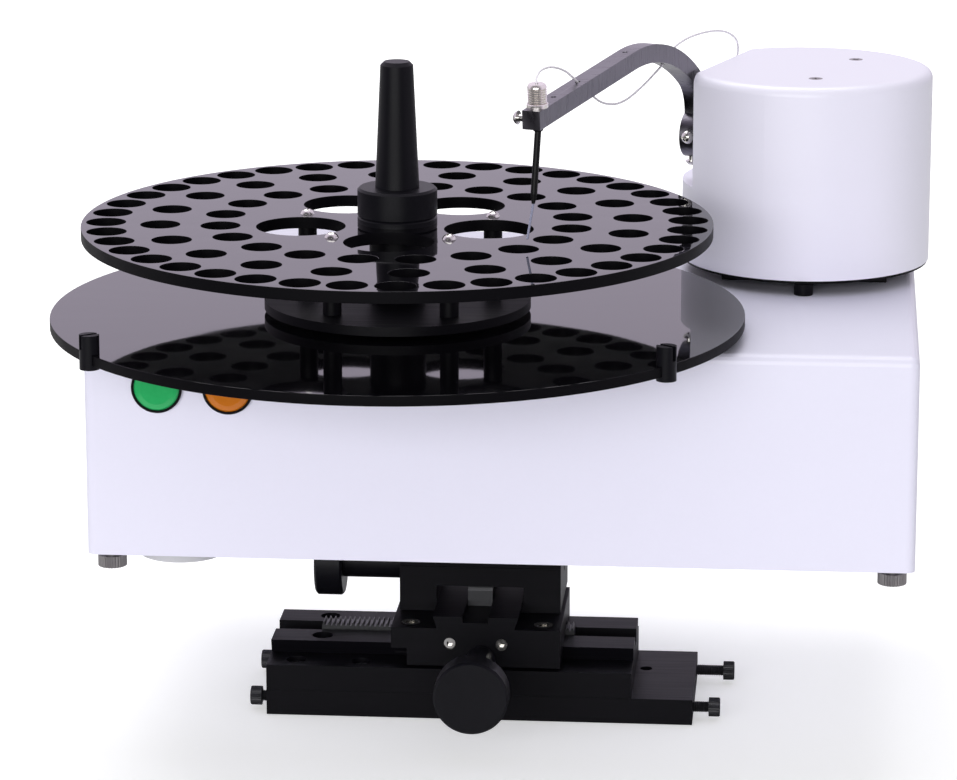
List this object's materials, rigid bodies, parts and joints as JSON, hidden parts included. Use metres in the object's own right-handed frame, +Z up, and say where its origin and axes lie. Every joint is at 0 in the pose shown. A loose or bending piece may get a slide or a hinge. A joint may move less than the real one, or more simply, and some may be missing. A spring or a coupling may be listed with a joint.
{
  "type": "graphite furnace autosampler",
  "caption": "Autosampler: a perforated sample carousel over a plain disc, a swinging and lifting arm with a capillary probe, a sheet-metal housing and a rack-and-pinion stage.",
  "frame": {"origin": "centre of the underside of the stage base plate", "axes": "+X to the operator's right along the stage, +Y away from the operator, +Z up"},
  "size_m": [0.377, 0.3565, 0.3021],
  "materials": {
    "stage_black": "black anodised, fine satin",
    "rack_steel": "blackened steel",
    "steel": "bright machined steel",
    "screw_black": "black oxide",
    "screw_bright": "nickel plated",
    "knob_black": "satin black",
    "housing_white": "smooth semi-gloss powder coat",
    "cap_grey": "satin grey",
    "bezel_black": "gloss black",
    "lens_green": "translucent green lens",
    "lens_orange": "translucent orange lens",
    "rocker_red": "gloss red",
    "acrylic_black": "polished black acrylic",
    "arm_grey": "slate anodised, milled marks",
    "tower_white": "smooth semi-gloss white",
    "fitting_nickel": "ridged nickel-plated brass",
    "probe_black": "black tube",
    "tube_clear": "translucent fluoropolymer",
    "foot_grey": "knurled steel",
    "motor_dark": "black lacquer",
    "belt_rubber": "black toothed belt",
    "board_green": "solder-masked board"
  },
  "bodies": {
    "stage_base": {"base_plate": "stage_black", "x_rail": "stage_black", "x_rack": "rack_steel", "base_screws": "screw_black"},
    "x_saddle": {"saddle": "stage_black", "y_rack": "rack_steel", "saddle_screws": "screw_bright"},
    "x_drive": {"x_pinion": "steel"},
    "x_hand_drive": {"x_knob": "knob_black"},
    "y_drive": {"y_knob": "knob_black", "y_pinion": "steel"},
    "housing": {"carriage_block": "stage_black", "riser_block": "stage_black", "housing_shell": "housing_white", "bottom_cover": "housing_white", "bottom_cap": "cap_grey", "switch_bezels": "bezel_black", "power_inlet": "bezel_black", "lower_disc": "acrylic_black", "rim_posts": "knob_black", "carousel_bearing": "steel", "carousel_motor": "motor_dark", "carousel_belt": "belt_rubber", "tower_bearing": "stage_black", "stop_post": "stage_black", "tower_motor": "motor_dark", "tower_belt": "belt_rubber", "control_board": "board_green", "syringe_pump": "steel"},
    "plunger": {"pump_plunger": "steel"},
    "carousel": {"carousel_pulley": "steel", "turntable": "stage_black", "standoffs": "stage_black", "sample_plate": "acrylic_black", "plate_screws": "screw_bright", "handle_collar": "knob_black", "handle_grip": "knob_black"},
    "carousel_drive": {"carousel_drive_pulley": "steel"},
    "tower": {"tower_pulley": "steel", "tower_frame": "stage_black", "tower_cover": "tower_white", "tower_screws": "screw_bright", "arm_motor": "motor_dark", "tube_gland": "knob_black"},
    "tower_drive": {"tower_drive_pulley": "steel"},
    "arm": {"arm_shaft": "steel", "arm_bar": "arm_grey", "arm_screws": "screw_bright", "tube_fitting": "fitting_nickel", "probe_tube": "probe_black", "capillary_tip": "tube_clear", "sample_tubing": "tube_clear"},
    "green_push": {"green_button": "lens_green"},
    "orange_push": {"orange_button": "lens_orange"},
    "rocker": {"power_rocker": "rocker_red"},
    "foot_fl": {"foot_front_left": "foot_grey"},
    "foot_fr": {"foot_front_right": "foot_grey"},
    "foot_bl": {"foot_back_left": "foot_grey"},
    "foot_br": {"foot_back_right": "foot_grey"}
  },
  "joints": [
    {"name": "x_slide", "type": "slide", "parent": "stage_base", "child": "x_saddle", "axis": [1, 0, 0], "range_m": [-0.045, 0.025]},
    {"name": "x_pinion_turn", "type": "hinge", "parent": "x_saddle", "child": "x_drive", "pos_m": [-0.0015, -0.034, 0.03634], "axis": [0, 1, 0], "range_deg": [-535, 300]},
    {"name": "x_knob_turn", "type": "hinge", "parent": "x_saddle", "child": "x_hand_drive", "pos_m": [0.001, -0.034, 0.02759], "axis": [0, 1, 0], "range_deg": [-560, 1000]},
    {"name": "y_slide", "type": "slide", "parent": "x_saddle", "child": "housing", "axis": [0, 1, 0], "range_m": [-0.012, 0.012]},
    {"name": "y_knob_turn", "type": "hinge", "parent": "housing", "child": "y_drive", "pos_m": [-0.0378, 0.0165, 0.05734], "axis": [1, 0, 0], "range_deg": [-125, 125]},
    {"name": "carousel_spin", "type": "hinge", "parent": "housing", "child": "carousel", "pos_m": [-0.033, -0.0555, 0.2241], "axis": [0, 0, 1], "continuous": true},
    {"name": "carousel_drive_spin", "type": "hinge", "parent": "housing", "child": "carousel_drive", "pos_m": [0.047, -0.0555, 0.1591], "axis": [0, 0, 1], "continuous": true},
    {"name": "tower_swing", "type": "hinge", "parent": "housing", "child": "tower", "pos_m": [0.1395, 0.0805, 0.1879], "axis": [0, 0, 1], "range_deg": [-8, 95]},
    {"name": "tower_drive_spin", "type": "hinge", "parent": "housing", "child": "tower_drive", "pos_m": [0.0645, 0.0805, 0.1591], "axis": [0, 0, 1], "range_deg": [-21, 239]},
    {"name": "arm_lift", "type": "hinge", "parent": "tower", "child": "arm", "pos_m": [0.08931, 0.07636, 0.2439], "axis": [0.9438, -0.3305, 0], "range_deg": [-40, 3], "deforming": ["sample_tubing"]},
    {"name": "plunger_stroke", "type": "slide", "parent": "housing", "child": "plunger", "axis": [1, 0, 0], "range_m": [0, 0.025]},
    {"name": "green_press", "type": "slide", "parent": "housing", "child": "green_push", "axis": [0, 1, 0], "range_m": [0, 0.0025], "stiffness_N_per_m": 600, "springref_m": -0.001},
    {"name": "orange_press", "type": "slide", "parent": "housing", "child": "orange_push", "axis": [0, 1, 0], "range_m": [0, 0.0025], "stiffness_N_per_m": 600, "springref_m": -0.001},
    {"name": "rocker_tilt", "type": "hinge", "parent": "housing", "child": "rocker", "pos_m": [-0.161, -0.035, 0.1521], "axis": [0, 1, 0], "range_deg": [-14, 0]},
    {"name": "foot_fl_height", "type": "slide", "parent": "housing", "child": "foot_fl", "axis": [0, 0, 1], "range_m": [-0.004, 0.0015]},
    {"name": "foot_fr_height", "type": "slide", "parent": "housing", "child": "foot_fr", "axis": [0, 0, 1], "range_m": [-0.004, 0.0015]},
    {"name": "foot_bl_height", "type": "slide", "parent": "housing", "child": "foot_bl", "axis": [0, 0, 1], "range_m": [-0.004, 0.0015]},
    {"name": "foot_br_height", "type": "slide", "parent": "housing", "child": "foot_br", "axis": [0, 0, 1], "range_m": [-0.004, 0.0015]}
  ],
  "couplings": [
    {"joint": "x_pinion_turn", "follows": "x_slide", "rad_per_m": 204.08},
    {"joint": "x_knob_turn", "follows": "x_slide", "rad_per_m": -385.49},
    {"joint": "y_knob_turn", "follows": "y_slide", "rad_per_m": -178.57},
    {"joint": "carousel_drive_spin", "follows": "carousel_spin", "ratio": 2.5},
    {"joint": "tower_drive_spin", "follows": "tower_swing", "ratio": 2.5}
  ]
}
